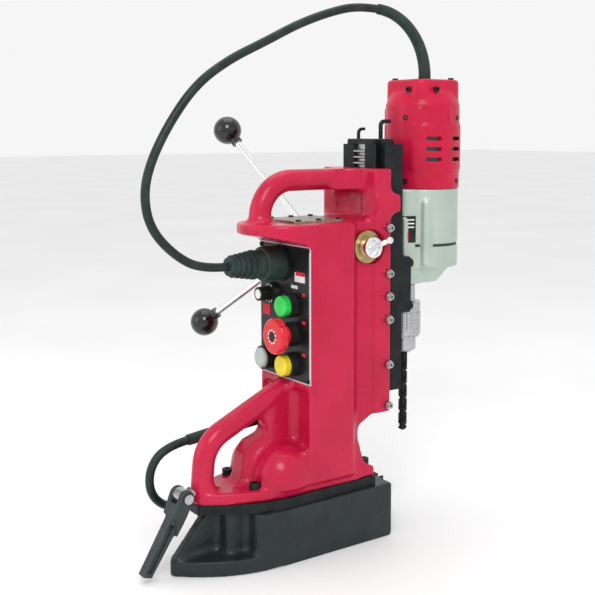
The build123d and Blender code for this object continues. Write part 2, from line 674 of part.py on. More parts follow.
def spoke_ends(k):
    """Inner end and knob centre of spoke k."""
    a = radians(SPOKE_PHASE + 120 * k)
    inner = Vector(HUB_X - 6, FEED_Y + 8 * cos(a), FEED_Z + 8 * sin(a))
    outer = Vector(HUB_X - SPOKE_OUT, FEED_Y + SPOKE_RADIAL * cos(a),
                   FEED_Z + SPOKE_RADIAL * sin(a))
    return inner, outer


def bar_between(a, b, r):
    place = Plane(origin=a, z_dir=b - a)
    return extrude(place * Circle(r), (b - a).length)


def spoke(k):
    a, b = spoke_ends(k)
    u = (b - a).normalized()
    return bar_between(a + u * 12, b - u * (KNOB_R - 8), SPOKE_R)


def knob(k):
    """Ball knob turned on its spoke's axis, with a blind bore for the end of the spoke."""
    a, b = spoke_ends(k)
    bore, neck_r, floor, mouth = SPOKE_R + RUN_FIT, 8.0, 8 - KNOB_R, -KNOB_R - 5
    outline = [
        Polyline((0, floor), (bore, floor), (bore, mouth), (neck_r, mouth),
                 (neck_r, -sqrt(KNOB_R ** 2 - neck_r ** 2))),
        ThreePointArc((neck_r, -sqrt(KNOB_R ** 2 - neck_r ** 2)), (KNOB_R, 0), (0, KNOB_R)),
        Line((0, KNOB_R), (0, floor)),
    ]
    turned = revolve(Plane.XZ * make_face(outline), Axis.Z)
    return Plane(origin=b, z_dir=b - a) * turned


def feed_hub():
    hub = rod_x(FEED_Y, FEED_Z, HUB_R, HUB_X - HUB_L / 2, -NECK_HALF - 3.5 - CLEAR)
    hub = chamfer(hub.edges().group_by(Axis.X)[0], 3)
    for k in range(3):
        a, b = spoke_ends(k)
        u = (b - a).normalized()
        hub += bar_between(a + u * 5, a + u * 24, 8.0)
    hub -= rod_x(FEED_Y, FEED_Z, SHAFT_R, HUB_X - HUB_L / 2 + 2, 0)
    for k in range(3):
        a, b = spoke_ends(k)
        u = (b - a).normalized()
        hub -= bar_between(a + u * 12, b, SPOKE_R)
    return hub


def feed_wing():
    """Chrome end nut of the feed shaft with its small wing."""
    x0 = NECK_HALF + 4
    cap = fillet(rod_x(FEED_Y, FEED_Z, 14, x0 + 0.2, x0 + 14).edges().group_by(Axis.X)[-1], 3)
    a = radians(20)
    lug = bar_between(Vector(x0 + 11, FEED_Y + 9 * cos(a), FEED_Z + 9 * sin(a)),
                      Vector(x0 + 15, FEED_Y + 24 * cos(a), FEED_Z + 24 * sin(a)), 3.4)
    tip = Pos(x0 + 15, FEED_Y + 24.5 * cos(a), FEED_Z + 24.5 * sin(a)) * Sphere(5.2)
    return cap + lug + tip - rod_x(FEED_Y, FEED_Z, 6 + RUN_FIT, x0 - 1, x0 + 10.1)


def make_feed():
    save("feed_shaft", feed_shaft())
    save("pinion", pinion())
    save("feed_hub", feed_hub())
    save("feed_spokes", *[spoke(k) for k in range(3)])
    save("feed_knobs", *[knob(k) for k in range(3)])
    save("feed_wing", feed_wing())


# ---- carriage --------------------------------------------------------------------------
def slide():
    front = SLIDE_REAR + DOVE_T
    dove = prism_z([(-flank(SLIDE_REAR), SLIDE_REAR), (-flank(front + 1), front + 1),
                    (flank(front + 1), front + 1), (flank(SLIDE_REAR), SLIDE_REAR)],
                   SLIDE_BOTTOM, SLIDE_TOP)
    plate = prism_z([(-42, front), (-PLATE_HALF, front + 8), (-PLATE_HALF, SLIDE_FRONT),
                     (PLATE_HALF, SLIDE_FRONT), (PLATE_HALF, front + 8), (42, front)],
                    SLIDE_BOTTOM, SLIDE_TOP)
    slot = block(-RACK_HALF, RACK_HALF, SLIDE_REAR - 1, RACK_Y + 11, SLIDE_BOTTOM - 1,
                 SLIDE_TOP + 1)
    return dove + plate - slot


def rack():
    """Toothed bar; a tooth space faces the pinion tooth at the shaft's height."""
    pitch = pi * GEAR_M
    tip = RACK_Y - GEAR_M
    root = RACK_Y + 1.25 * GEAR_M
    bottom = SLIDE_BOTTOM + 0.5
    top = SLIDE_TOP
    profile = [(RACK_Y + 11, bottom), (root, bottom)]
    first = int((bottom - FEED_Z) / pitch) - 1
    last = int((top - FEED_Z) / pitch) + 1
    for k in range(first, last + 1):
        z = FEED_Z + (k + 0.5) * pitch
        if z - 0.36 * pitch > bottom and z + 0.36 * pitch < top:
            profile += [(root, z - 0.36 * pitch), (tip, z - 0.11 * pitch),
                        (tip, z + 0.11 * pitch), (root, z + 0.36 * pitch)]
    profile += [(root, top), (RACK_Y + 11, top)]
    return prism_x(profile, -RACK_HALF, RACK_HALF)


def slide_cap():
    """Cap on top of the slide that holds the hex keys."""
    front = SLIDE_REAR + DOVE_T
    cap = block(-34, 34, front, SLIDE_FRONT - 4, SLIDE_TOP, SLIDE_TOP + 7)
    cap += block(0.5 - DOVE_FRONT_HALF, DOVE_FRONT_HALF - 0.5, SLIDE_REAR + 2, front + 1,
                 SLIDE_TOP, SLIDE_TOP + 7)
    cap = fillet(cap.edges().group_by(Axis.Z)[-1], 2)
    for x, y, r in KEY_AT:
        cap -= rod_z(x, y, r, SLIDE_TOP + 1, SLIDE_TOP + 8)
    return cap


def hex_key(x, y, r, height, reach):
    """L-shaped key standing in the cap, short leg along +Y."""
    path = FilletPolyline((x, y, SLIDE_TOP + 1), (x, y, SLIDE_TOP + height),
                          (x, y + reach, SLIDE_TOP + height), radius=6)
    start = Plane(origin=path @ 0, z_dir=(0, 0, 1))
    return sweep(start * RegularPolygon(r, 6), path=path)


def motor_bracket():
    body = rounded_block(-45, 45, SLIDE_FRONT, 190.5, 295, 371, 5, Axis.Y)
    for x, z in BRACKET_AT:
        body -= rod_y(x, z, 3.5, SLIDE_FRONT - 1, 200)
    return body


def bracket_bolt(x, z):
    bolt = socket_screw(3.5, 6.0, 6.0, 15)
    return Pos(x, 190.5, z) * Rot(-90, 0, 0) * bolt


def case_outline(grow):
    """Union of the motor circle and the spindle circle."""
    return (Pos(0, MOTOR_Y) * Circle(CASE_R + grow)) + (Pos(0, SPINDLE_Y) * Circle(35 + grow))


def gear_case():
    upper = Pos(0, 0, 352) * extrude(case_outline(0), CASE_TOP - 352)
    taper = Pos(0, MOTOR_Y - 6, 352 - 11) * Cone(27, 44, 22)
    lower = rod_z(0, SPINDLE_Y, 30, CASE_BOTTOM, 360) + taper
    back = block(-30, 30, 190.5, 232, CASE_BOTTOM + 6, 420)
    ridge = Pos(*RIDGE_AT, 0) * rod_z(0, 0, 10, 356, 440)
    ridge += Pos(*RIDGE_AT, 440) * Sphere(10)
    seam = rod_z(0, MOTOR_Y, CASE_R + 1, 381.5, 385.5) - rod_z(0, MOTOR_Y, CASE_R - 2, 381, 386)
    body = upper - seam + lower + back + ridge
    body -= block(-60, 60, 150, 190.5, 300, 371 + CLEAR)
    body -= Pos(0, 0, 384) * extrude(case_outline(-CASE_WALL), CASE_TOP - 384 - 6)
    body -= rod_z(0, MOTOR_Y, 12, 452, CASE_TOP + 1)
    body -= rod_z(0, SPINDLE_Y, SPINDLE_R + 1, CASE_BOTTOM - 1, 386)
    body -= rod_z(0, SPINDLE_Y, 17, CASE_BOTTOM - 1, CASE_BOTTOM + 12)
    body -= rod_z(0, SPINDLE_Y, 17, 372, 385)
    body -= rod_z(0, SPINDLE_Y, SPINDLE_R + 1, 452, CASE_TOP - 2)
    return body


def motor_cover():
    """Red motor shell with a rounded-square cap and vent slots on both sides."""
    body = rod_z(0, MOTOR_Y, MOTOR_R, CASE_TOP, COVER_SHOULDER - 8)
    body += Pos(0, MOTOR_Y, COVER_SHOULDER) * Cone(MOTOR_R, CAP_R, 16)
    body += rounded_block(-40, 40, MOTOR_Y - 40, MOTOR_Y + 40, COVER_SHOULDER - 30,
                          COVER_TOP, 18)
    inner = rod_z(0, MOTOR_Y, MOTOR_R - COVER_WALL, CASE_TOP - 1, 572)
    inner += rod_z(0, MOTOR_Y, 36, 570, 596)
    body = fillet(body.edges().group_by(Axis.Z)[-1], 5) - inner
    panel = rod_z(0, MOTOR_Y, MOTOR_R + 1.6, 486, 546) - rod_z(0, MOTOR_Y, MOTOR_R - 2, 485, 547)
    for side in (1, -1):
        body += panel & block(side * 26, side * 70, MOTOR_Y - 45, MOTOR_Y + 38, 480, 550)
        for y in (-38, 4):
            gusset = block(side * 22, side * 60, MOTOR_Y + y - 1.5, MOTOR_Y + y + 1.5, 545, 568)
            body += gusset & (rod_z(0, MOTOR_Y, MOTOR_R + 1.6, 540, 570)
                              - rod_z(0, MOTOR_Y, MOTOR_R - 2, 539, 571))
        for z in (500, 514, 528):
            for y in (-20, 18):
                body -= block(side * 30, side * 70, MOTOR_Y + y - 10, MOTOR_Y + y + 10,
                              z - 2.5, z + 2.5)
    body -= rod_z(0, MOTOR_Y + 2, 10.5, 590, COVER_TOP + 1)
    for x, y in CAP_SCREW_AT:
        body -= rod_z(x, y, 2.0, COVER_TOP - 16, COVER_TOP + 1)
    return body


def stator():
    core = rod_z(0, MOTOR_Y, MOTOR_R - COVER_WALL, *STATOR_Z) - rod_z(0, MOTOR_Y, 28, 470, 550)
    return core


def armature():
    """Shaft, laminated core, commutator, fan and the drive pinion."""
    body = rod_z(0, MOTOR_Y, 5, 430, 592) + rod_z(0, MOTOR_Y, 27, STATOR_Z[0], STATOR_Z[1])
    body += rod_z(0, MOTOR_Y, 14, 548, 566)
    for k in range(8):
        blade = block(8, 40, -1, 1, 466, 474)
        body += Pos(0, MOTOR_Y, 0) * Rot(0, 0, 45 * k) * blade
    body += rod_z(0, MOTOR_Y, 40, 464, 466)
    return body + Pos(0, MOTOR_Y, 428) * extrude(gear_face(DRIVE_M, DRIVE_N[0], 90), 18)


def bearing(x, y, r_in, r_out, z0, z1):
    return rod_z(x, y, r_out, z0, z1) - rod_z(x, y, r_in, z0 - 1, z1 + 1)


def spindle():
    shaft = rod_z(0, SPINDLE_Y, SPINDLE_R, 312, 424) + rod_z(0, SPINDLE_Y, 8, 290, 312)
    shaft += rod_z(0, SPINDLE_Y, 16, CHUCK_TOP, CASE_BOTTOM - 4)
    return shaft + rod_z(0, SPINDLE_Y, 7, 424, 448)


def spindle_gear():
    gear = Pos(0, SPINDLE_Y, 430) * extrude(gear_face(DRIVE_M, DRIVE_N[1], GEAR_SHIFT), 14)
    return gear - rod_z(0, SPINDLE_Y, 7, 429, 445)


def jaw_axis(k):
    """Point where the jaw's axis crosses the nose plane, and its outward-upward direction."""
    a = radians(120 * k + 30)
    out = Vector(cos(a), sin(a), 0)
    u = out * sin(radians(JAW_TILT)) + Vector(0, 0, cos(radians(JAW_TILT)))
    at = Vector(0, SPINDLE_Y, CHUCK_NOSE) + out * (BIT_R + 1.6)
    return at, u


def chuck_jaw(k):
    at, u = jaw_axis(k)
    jaw = bar_between(at - u * 6, at + u * 20, JAW_R)
    jaw -= rod_z(0, SPINDLE_Y, BIT_R + 0.02, 200, 300)
    return jaw & rod_z(0, SPINDLE_Y, 30, CHUCK_NOSE - 3, 300)


def chuck_body():
    body = rod_z(0, SPINDLE_Y, 17.5, CHUCK_NOSE, CHUCK_TOP - 6)
    body += rod_z(0, SPINDLE_Y, CHUCK_R - 0.4, CHUCK_TOP - 14, CHUCK_TOP)
    body = chamfer(body.edges().group_by(Axis.Z)[0], 2.5)
    for k in range(3):
        at, u = jaw_axis(k)
        body -= bar_between(at - u * 12, at + u * 28, JAW_R + CLEAR)
    body -= rod_z(0, SPINDLE_Y, BIT_R + 0.4, CHUCK_NOSE - 1, 272)
    return body - rod_z(0, SPINDLE_Y, 8, 289, CHUCK_TOP + 1)


def chuck_sleeve():
    """Toothed key sleeve that turns on the chuck body."""
    sleeve = rod_z(0, SPINDLE_Y, CHUCK_R, CHUCK_MID, CHUCK_TOP - 14 - CLEAR)
    sleeve += Pos(0, SPINDLE_Y, CHUCK_MID - 2) * Cone(CHUCK_R - 3, CHUCK_R, 4)
    for k in range(24):
        a = radians(15 * k)
        sleeve -= rod_z(25.0 * cos(a), SPINDLE_Y + 25.0 * sin(a), 1.5, 266, 290)
    for k in range(18):
        tooth = block(19, 26, -1.4, 1.4, CHUCK_MID - 5, CHUCK_MID - 1)
        sleeve -= Pos(0, SPINDLE_Y, 0) * Rot(0, 0, 20 * k) * tooth
    return sleeve - rod_z(0, SPINDLE_Y, 17.5 + RUN_FIT, CHUCK_MID - 6, CHUCK_TOP)


def drill_bit():
    """Twist drill: two flutes cut along a helix, ground point."""
    body = rod_z(0, SPINDLE_Y, BIT_R, BIT_TIP + 3, 271)
    body += Pos(0, SPINDLE_Y, BIT_TIP + 1.5) * Cone(0.6, BIT_R, 3)
    steps = 26
    rise = (CHUCK_NOSE - 14 - BIT_TIP) / steps
    for k in range(steps):
        cut = Pos(BIT_R, 0, 0) * Cylinder(2.7, rise * 1.9)
        cut += Pos(-BIT_R, 0, 0) * Cylinder(2.7, rise * 1.9)
        place = Pos(0, SPINDLE_Y, BIT_TIP + (k + 0.5) * rise) * Rot(0, 0, 36 * k)
        body -= place * cut
    return body


def make_carriage():
    save("slide", slide())
    save("rack", rack())
    save("slide_cap", slide_cap())
    save("hex_keys", hex_key(*KEY_AT[0], 30, 16), hex_key(*KEY_AT[1], 20, 10))
    save("motor_bracket", motor_bracket())
    save("bracket_bolts", *[bracket_bolt(x, z) for x, z in BRACKET_AT])
    save("gear_case", gear_case())
    save("motor_cover", motor_cover())
    save("cover_screws", *[Pos(x, y, COVER_TOP) * small_screw(2.0, 4.0, 2.5, 15)
                           for x, y in CAP_SCREW_AT])
    save("stator", stator())
    save("armature", armature())
    save("bearings", bearing(0, MOTOR_Y, 5, 12, 452, 460), bearing(0, MOTOR_Y, 5, 11, 582, 590),
         bearing(0, SPINDLE_Y, SPINDLE_R, 17, CASE_BOTTOM, CASE_BOTTOM + 12),
         bearing(0, SPINDLE_Y, SPINDLE_R, 17, 373, 384))
    save("brushes", block(14.2, 34, MOTOR_Y - 4, MOTOR_Y + 4, 553, 561),
         block(-34, -14.2, MOTOR_Y - 4, MOTOR_Y + 4, 553, 561))
    save("spindle", spindle())
    save("spindle_gear", spindle_gear())
    save("chuck_body", chuck_body())
    save("chuck_sleeve", chuck_sleeve())
    for k in range(3):
        save(f"chuck_jaw_{k + 1}", chuck_jaw(k))
    save("drill_bit", drill_bit())


# ---- cords -----------------------------------------------------------------------------
def cord_sleeve():
    """Long moulded strain relief that curves up out of the motor cap."""
    tip = Vector(*MOTOR_CORD[0])
    back = (tip - Vector(*MOTOR_CORD[1])).normalized()
    arc = TangentArc(tip + back * CORD_GAP, (0, MOTOR_Y + 2, 600), tangent=back)
    end = Plane(origin=arc @ 0, z_dir=arc % 0)
    start = Plane(origin=arc @ 1, z_dir=arc % 1)
    return sweep([end * Circle(7.0), start * Circle(8.5)], path=arc, multisection=True)


def power_boot():
    """Tapered strain relief from the rear wall of the housing to the supply lead."""
    tip = Vector(*POWER_CORD[0])
    ahead = (Vector(*POWER_CORD[1]) - tip).normalized()
    end = tip - ahead * CORD_GAP
    start = end - ahead * 137
    return loft([Plane(origin=start, z_dir=ahead) * Circle(8.5),
                 Plane(origin=end, z_dir=ahead) * Circle(7.0)])


def cord_coil():
    """Outer shape of the coiled supply lead."""
    ring = rod_z(*COIL_AT, COIL_R + COIL_W / 2, 0, COIL_H)
    ring -= rod_z(*COIL_AT, COIL_R - COIL_W / 2, -1, COIL_H + 1)
    return fillet(ring.edges(), 5)


def power_plug():
    """Moulded plug with two flat pins and a round one, at the end of the lead's tail."""
    x, y, z = POWER_TAIL[-1]
    body = rounded_block(x - 14, x + 14, y + 13, y + 47, 0, 24, 5, Axis.Y)
    body += Pos(x, y + 7, z) * Rot(-90, 0, 0) * Cone(7, 11, 14)
    for dx in (-6.4, 6.4):
        body += block(x + dx - 0.8, x + dx + 0.8, y + 46, y + 64, 9, 15)
    return body + rod_y(x, 6.5, 2.4, y + 46, y + 66)


def make_cords():
    save("cord_sleeve", cord_sleeve())
    save("motor_cord", cord_tube(MOTOR_CORD, "motor_cord"))
    save("power_boot", power_boot())
    save("power_cord", cord_tube(POWER_CORD, "power_cord"), cord_tube(POWER_TAIL, "power tail"))
    save("cord_coil", cord_coil())
    save("power_plug", power_plug())


if __name__ == "__main__":
    os.makedirs("parts", exist_ok=True)
    make_magnet()
    make_housing()
    make_panel()
    make_feed()
    make_carriage()
    make_cords()
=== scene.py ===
# %% [markdown]
# # A magnetic drill press
# The CAD frame already holds every solid of this machine in its place.  This lesson gives it its
# looks: cast and enamelled skins with soft inner corners, cords that hang, and a finish for every
# piece.  We start by loading the frame, and we keep the box that it fills.

# %% The frame
import json
from math import cos, pi, radians, sin

import bpy
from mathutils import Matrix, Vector


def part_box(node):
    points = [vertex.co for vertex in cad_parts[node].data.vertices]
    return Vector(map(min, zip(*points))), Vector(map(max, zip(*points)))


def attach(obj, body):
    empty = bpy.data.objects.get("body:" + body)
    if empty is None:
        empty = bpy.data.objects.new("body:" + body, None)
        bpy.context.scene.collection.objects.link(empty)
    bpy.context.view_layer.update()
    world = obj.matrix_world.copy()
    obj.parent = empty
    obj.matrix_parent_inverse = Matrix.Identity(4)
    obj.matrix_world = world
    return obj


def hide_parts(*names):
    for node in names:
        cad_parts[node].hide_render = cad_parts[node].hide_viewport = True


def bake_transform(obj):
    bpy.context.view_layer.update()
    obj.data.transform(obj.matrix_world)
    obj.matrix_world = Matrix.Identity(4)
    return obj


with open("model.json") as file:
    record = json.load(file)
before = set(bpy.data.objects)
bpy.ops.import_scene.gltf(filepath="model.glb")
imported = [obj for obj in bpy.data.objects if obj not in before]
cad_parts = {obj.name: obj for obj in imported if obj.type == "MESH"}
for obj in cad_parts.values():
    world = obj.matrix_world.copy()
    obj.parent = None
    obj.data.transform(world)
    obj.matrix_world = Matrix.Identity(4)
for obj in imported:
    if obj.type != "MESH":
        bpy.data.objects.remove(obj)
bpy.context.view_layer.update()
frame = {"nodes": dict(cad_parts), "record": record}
print("parts in the frame:", len(frame["nodes"]))

# %% [markdown]
# Blender's operators work on whatever is selected, and the frame comes in selected.  A few small
# helpers keep that tidy: one clears the selection, one picks a single object, and one bakes an
# object's place into its mesh so that its own origin is the origin of the whole machine.

# %% Selection and placing helpers
MM = 0.001


def pick(obj):
    """Select only this object and make it active."""
    bpy.ops.object.select_all(action="DESELECT")
    obj.select_set(True)
    bpy.context.view_layer.objects.active = obj
    return obj


def settle(obj, name):
    """Bake the place into the mesh and give the piece its name."""
    pick(obj)
    bpy.ops.object.transform_apply(location=True, rotation=True, scale=True)
    obj.name = name
    obj.data.name = name
    return obj


def apply_modifiers(obj):
    pick(obj)
    for modifier in list(obj.modifiers):
        bpy.ops.object.modifier_apply(modifier=modifier.name)
    return obj


def smooth(obj, angle=35):
    """Round-looking curves, crisp corners."""
    pick(obj)
    bpy.ops.object.shade_smooth_by_angle(angle=radians(angle))
    return obj


def cube(low, high, name="box"):
    """A box between two corners given in millimetres."""
    centre = [(a + b) / 2 * MM for a, b in zip(low, high)]
    size = [abs(b - a) * MM for a, b in zip(low, high)]
    bpy.ops.mesh.primitive_cube_add(size=1, location=centre)
    obj = bpy.context.object
    obj.scale = size
    return settle(obj, name)


TURN = {"X": (0, pi / 2, 0), "Y": (pi / 2, 0, 0), "Z": (0, 0, 0)}


def round_bar(centre, radius, length, axis, name="bar", sides=64):
    """A round bar in millimetres, centred, along X, Y or Z."""
    place = [c * MM for c in centre]
    bpy.ops.mesh.primitive_cone_add(vertices=sides, radius1=radius * MM,
                                    radius2=radius * MM, depth=length * MM,
                                    location=place, rotation=TURN[axis])
    return settle(bpy.context.object, name)


def join(pieces, name):
    """Several meshes become one."""
    bpy.ops.object.select_all(action="DESELECT")
    for piece in pieces:
        piece.select_set(True)
    bpy.context.view_layer.objects.active = pieces[0]
    bpy.ops.object.join()
    return settle(bpy.context.object, name)


def carve(obj, cutter):
    """Cut one piece out of another; the cutter is thrown away."""
    pick(obj)
    modifier = obj.modifiers.new("carve", "BOOLEAN")
    modifier.operation = "DIFFERENCE"
    modifier.solver = "EXACT"
    modifier.object = cutter
    bpy.ops.object.modifier_apply(modifier=modifier.name)
    bpy.data.objects.remove(cutter, do_unlink=True)
    return obj


print("helpers ready")

# %% [markdown]
# ## The camera
# The press is seen from its control side, a little from above, through a long lens, so the
# upright lines almost stay parallel.  The camera comes before anything is modelled because the
# cords are checked against what it sees.

# %% Camera
camera_data = bpy.data.cameras.new("camera")
camera = bpy.data.objects.new("camera", camera_data)
bpy.context.collection.objects.link(camera)
camera.location = (1.0772, -0.7035, 0.5388)
camera.rotation_euler = (radians(84.0), 0, radians(54.08))
camera_data.lens = 61.97
camera_data.sensor_width = 36
camera_data.shift_x = -0.0422
camera_data.shift_y = -0.0997
bpy.context.scene.camera = camera
print("camera at", tuple(camera.location))

# %% [markdown]
# ## The cords
# Two leads leave the press.  The motor lead rises out of the motor's cap and arches back to the
# panel.  The supply lead leaves the rear wall, bends down behind the tail and runs along the bench
# to a coil and its plug.  Each is a round rubber jacket that follows a smooth spline, so a tube
# is built on points read from that spline, and a thin band of colour and bump follows its length.

# %% Routes in millimetres, jacket in metres
CORD_D = 0.011
MOTOR_ROUTE = [
    (0, 168, 699), (-1, 136, 701), (-2, 92, 691), (-3, 40, 672), (-4, -8, 648),
    (-5, -58, 625), (-6, -104, 594), (-7, -140, 548), (-8, -166, 500), (-9, -174, 462),
    (-9, -166, 424), (-9, -137, 392), (-9, -100, 371), (-9, -62, 371),
]
POWER_ROUTE = [
    (-40, -104, 151), (-40, -135.8, 147.7), (-40, -157.5, 125), (-42, -157, 93), (-48, -135, 69),
    (-61, -98, 58), (-74, -62, 45), (-89, -24, 25), (-101, 16, 9), (-110, 50, 5.8), (-110, 80, 5.8),
]
COIL_CENTRE = (-165, 118)
COIL_LAYERS = ((5.8, (60.0, 48.5)), (16.9, (48.5, 60.0)), (28.0, (48.5, 60.0)))
TAIL = [(-105, 138, 28.0), (-105, 148, 27.8), (-105, 176, 12), (-105, 198, 12)]
TURN_STEPS = 14


def coil_route():
    """Turns of the put-away lead, layer on layer."""
    points = []
    for z, radii in COIL_LAYERS:
        for r in radii:
            for k in range(TURN_STEPS):
                a = 2 * pi * k / TURN_STEPS
                points.append((COIL_CENTRE[0] + r * cos(a), COIL_CENTRE[1] + r * sin(a), z))
    return points


def spline_points(route, name):
    """The smooth line that a route's control points make, as a list of points."""
    data = bpy.data.curves.new(name, "CURVE")
    data.dimensions = "3D"
    data.resolution_u = 8
    spline = data.splines.new("NURBS")
    spline.points.add(len(route) - 1)
    for point, (x, y, z) in zip(spline.points, route):
        point.co = (x * MM, y * MM, z * MM, 1)
    spline.order_u = 3
    spline.use_endpoint_u = True
    line = bpy.data.objects.new(name, data)
    bpy.context.collection.objects.link(line)
    bpy.context.view_layer.update()
    mesh = bpy.data.meshes.new_from_object(line)
    points = [v.co.copy() for v in mesh.vertices]
    bpy.data.objects.remove(line, do_unlink=True)
    return points


def length_of(points):
    return sum((b - a).length for a, b in zip(points, points[1:]))


print("routes:", len(MOTOR_ROUTE), len(POWER_ROUTE), len(coil_route()))

# %% [markdown]
# A tube on a line needs a frame at every point that doesn't twist.  We carry the last sideways
# direction along and square it to the new run.  The distance from the start is stored at every
# point, so that the jacket's pattern can follow the cord.

# %% Tube along a line
def tube(points, radius, name, sides=20):
    """A closed round tube along the points; the radius is in metres."""
    side = Vector((1, 0, 0))
    verts, faces, along, travelled = [], [], 0.0, []
    for i, here in enumerate(points):
        before = points[max(i - 1, 0)]
        after = points[min(i + 1, len(points) - 1)]
        ahead = (after - before).normalized()
        side = (side - ahead * side.dot(ahead)).normalized()
        up = ahead.cross(side)
        if i:
            along += (here - points[i - 1]).length
        for k in range(sides):
            a = 2 * pi * k / sides
            verts.append(here + side * (radius * cos(a)) + up * (radius * sin(a)))
            travelled.append(along)
    for i in range(len(points) - 1):
        for k in range(sides):
            a, b = i * sides + k, i * sides + (k + 1) % sides
            faces.append((a, b, b + sides, a + sides))
    faces.append(tuple(reversed(range(sides))))
    faces.append(tuple(range((len(points) - 1) * sides, len(points) * sides)))
    mesh = bpy.data.meshes.new(name)
    mesh.from_pydata([tuple(v) for v in verts], [], faces)
    layer = mesh.attributes.new("along", "FLOAT", "POINT")
    layer.data.foreach_set("value", travelled)
    obj = bpy.data.objects.new(name, mesh)
    bpy.context.collection.objects.link(obj)
    return smooth(obj, 50)


motor_line = spline_points(MOTOR_ROUTE, "motor_line")
motor_lead = tube(motor_line, CORD_D / 2, "motor_lead")
power_line = spline_points(POWER_ROUTE + coil_route()[1:] + TAIL, "power_line")
power_lead = tube(power_line, CORD_D / 2, "supply_lead", sides=14)
print("motor lead", round(length_of(motor_line), 3),
      "supply lead", round(length_of(power_line), 3))

# %% [markdown]
# ## Finishes
# Every finish reads Object coordinates, which are metres in this frame, so a noise scale of 400
# means grains of about two and a half millimetres.  Colour moves between two close tones in
# patches, roughness moves too, and a fine bump breaks up the highlight.  One function lays down
# those three layers, and each finish below adds what is its own.  Paint and plastic get a lower
# specular level than metal, so that a deep colour isn't washed out by the bright room.

# %% The three layers that every finish has
def noise(tree, scale, detail=3.0, stretch=None):
    """Noise on Object coordinates, optionally stretched along an axis."""
    place = tree.nodes.new("ShaderNodeTexCoord")
    source = place.outputs["Object"]
    if stretch:
        mapping = tree.nodes.new("ShaderNodeMapping")
        mapping.inputs["Scale"].default_value = stretch
        tree.links.new(source, mapping.inputs["Vector"])
        source = mapping.outputs["Vector"]
    texture = tree.nodes.new("ShaderNodeTexNoise")
    texture.inputs["Scale"].default_value = scale
    texture.inputs["Detail"].default_value = detail
    tree.links.new(source, texture.inputs["Vector"])
    return texture.outputs["Fac"]


def ramp(tree, value, stops):
    """Colour ramp from (position, colour) stops."""
    node = tree.nodes.new("ShaderNodeValToRGB")
    node.color_ramp.elements[0].position, node.color_ramp.elements[0].color = stops[0]
    node.color_ramp.elements[1].position, node.color_ramp.elements[1].color = stops[-1]
    for position, colour in stops[1:-1]:
        node.color_ramp.elements.new(position).color = colour
    tree.links.new(value, node.inputs["Fac"])
    return node.outputs["Color"]


def mix(tree, factor, first, second):
    """Blend two colours by a factor."""
    node = tree.nodes.new("ShaderNodeMix")
    node.data_type = "RGBA"
    tree.links.new(factor, node.inputs["Factor"])
    for socket, value in ((node.inputs[6], first), (node.inputs[7], second)):
        if isinstance(value, tuple):
            socket.default_value = value
        else:
            tree.links.new(value, socket)
    return node.outputs[2]


def math_node(tree, kind, first, second=None):
    node = tree.nodes.new("ShaderNodeMath")
    node.operation = kind
    for socket, value in zip(node.inputs, (first, second)):
        if value is None:
            continue
        if isinstance(value, (int, float)):
            socket.default_value = value
        else:
            tree.links.new(value, socket)
    return node.outputs[0]


def bump(tree, height, depth, strength=0.5, below=None):
    """Bump of a height in metres; bumps can be stacked."""
    node = tree.nodes.new("ShaderNodeBump")
    node.inputs["Strength"].default_value = strength
    node.inputs["Distance"].default_value = depth
    tree.links.new(height, node.inputs["Height"])
    if below is not None:
        tree.links.new(below, node.inputs["Normal"])
    return node.outputs["Normal"]


COAT_ROUGHNESS = 0.12
METAL_SHINE, PAINT_SHINE = 0.5, 0.2


def surface(name, tones, rough, patch=25.0, grain=(500.0, 0.0002), metallic=0.0, coat=0.0,
            stretch=None):
    """Two tones in patches, moving roughness and a grain of (scale, depth)."""
    material = bpy.data.materials.new(name)
    material.use_nodes = True
    tree = material.node_tree
    shader = tree.nodes["Principled BSDF"]
    shader.inputs["Metallic"].default_value = metallic
    shader.inputs["Coat Weight"].default_value = coat
    shader.inputs["Coat Roughness"].default_value = COAT_ROUGHNESS
    shine = METAL_SHINE if metallic > 0.5 else PAINT_SHINE
    shader.inputs["Specular IOR Level"].default_value = shine
    patches = noise(tree, patch, 4, stretch=stretch)
    colour = ramp(tree, patches, [(0.35, (*tones[0], 1)), (0.68, (*tones[1], 1))])
    tree.links.new(colour, shader.inputs["Base Color"])
    low, high = rough
    shades = ramp(tree, noise(tree, patch * 4, 3, stretch=stretch),
                  [(0.3, (low, low, low, 1)), (0.7, (high, high, high, 1))])
    tree.links.new(shades, shader.inputs["Roughness"])
    fine = bump(tree, noise(tree, grain[0], 4, stretch=stretch), grain[1])
    tree.links.new(fine, shader.inputs["Normal"])
    return material, tree, shader, fine


FINISH = {}


def keep(key, material):
    FINISH[key] = material
    print("finish:", key)
    return material


# %% [markdown]
# ### Paint and castings
# The housing is a sand casting under thick gloss enamel.  Enamel pools and shrinks into a faint
# orange peel, a few millimetres across, and a slower swell remains from the sand.  The magnet is
# painted straight over a rough casting, so its bumps are deeper and its gloss is broken.

# %% Enamels
def red_enamel():
    material, tree, shader, fine = surface(
        "red_enamel", ((0.45, 0.006, 0.040), (0.53, 0.010, 0.054)), (0.22, 0.36), patch=14,
        grain=(420, 0.00018), coat=0.2)
    swell = bump(tree, noise(tree, 60, 2), 0.0012, 0.35, fine)
    tree.links.new(swell, shader.inputs["Normal"])
    return keep("red_casting", material)


def red_plastic():
    material = surface(
        "red_moulding", ((0.46, 0.005, 0.036), (0.54, 0.008, 0.048)), (0.30, 0.42),
        patch=30, grain=(1500, 0.00008), coat=0.1)[0]
    return keep("red_plastic", material)


